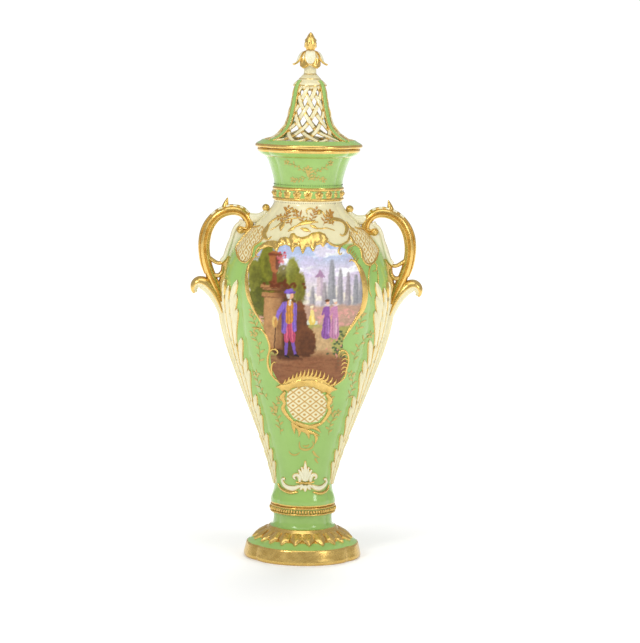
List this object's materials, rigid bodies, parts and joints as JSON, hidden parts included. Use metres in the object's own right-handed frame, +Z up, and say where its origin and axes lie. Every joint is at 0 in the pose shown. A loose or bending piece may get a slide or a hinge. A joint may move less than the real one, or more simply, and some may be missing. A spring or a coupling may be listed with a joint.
{
  "type": "lidded vase",
  "caption": "Tall glazed ceramic mantel vase with two scrolled handles, a painted front panel, a spreading foot and a lift-off pierced cover with a bud knob.",
  "frame": {"origin": "centre of the foot's underside", "axes": "+Z up through the knob of the cover, -Y towards the painted front, X through the two handles"},
  "size_m": [0.2376, 0.1692, 0.54],
  "materials": {
    "glazed_body": "apple green and cream enamel under a clear gloss glaze, with burnished gold",
    "glazed_cover": "cream and apple green enamel under a clear gloss glaze, with burnished gold"
  },
  "bodies": {
    "root": {"vase": "glazed_body", "foot": "glazed_body", "handle_right": "glazed_body", "handle_left": "glazed_body", "cover": "glazed_cover"}
  },
  "joints": []
}
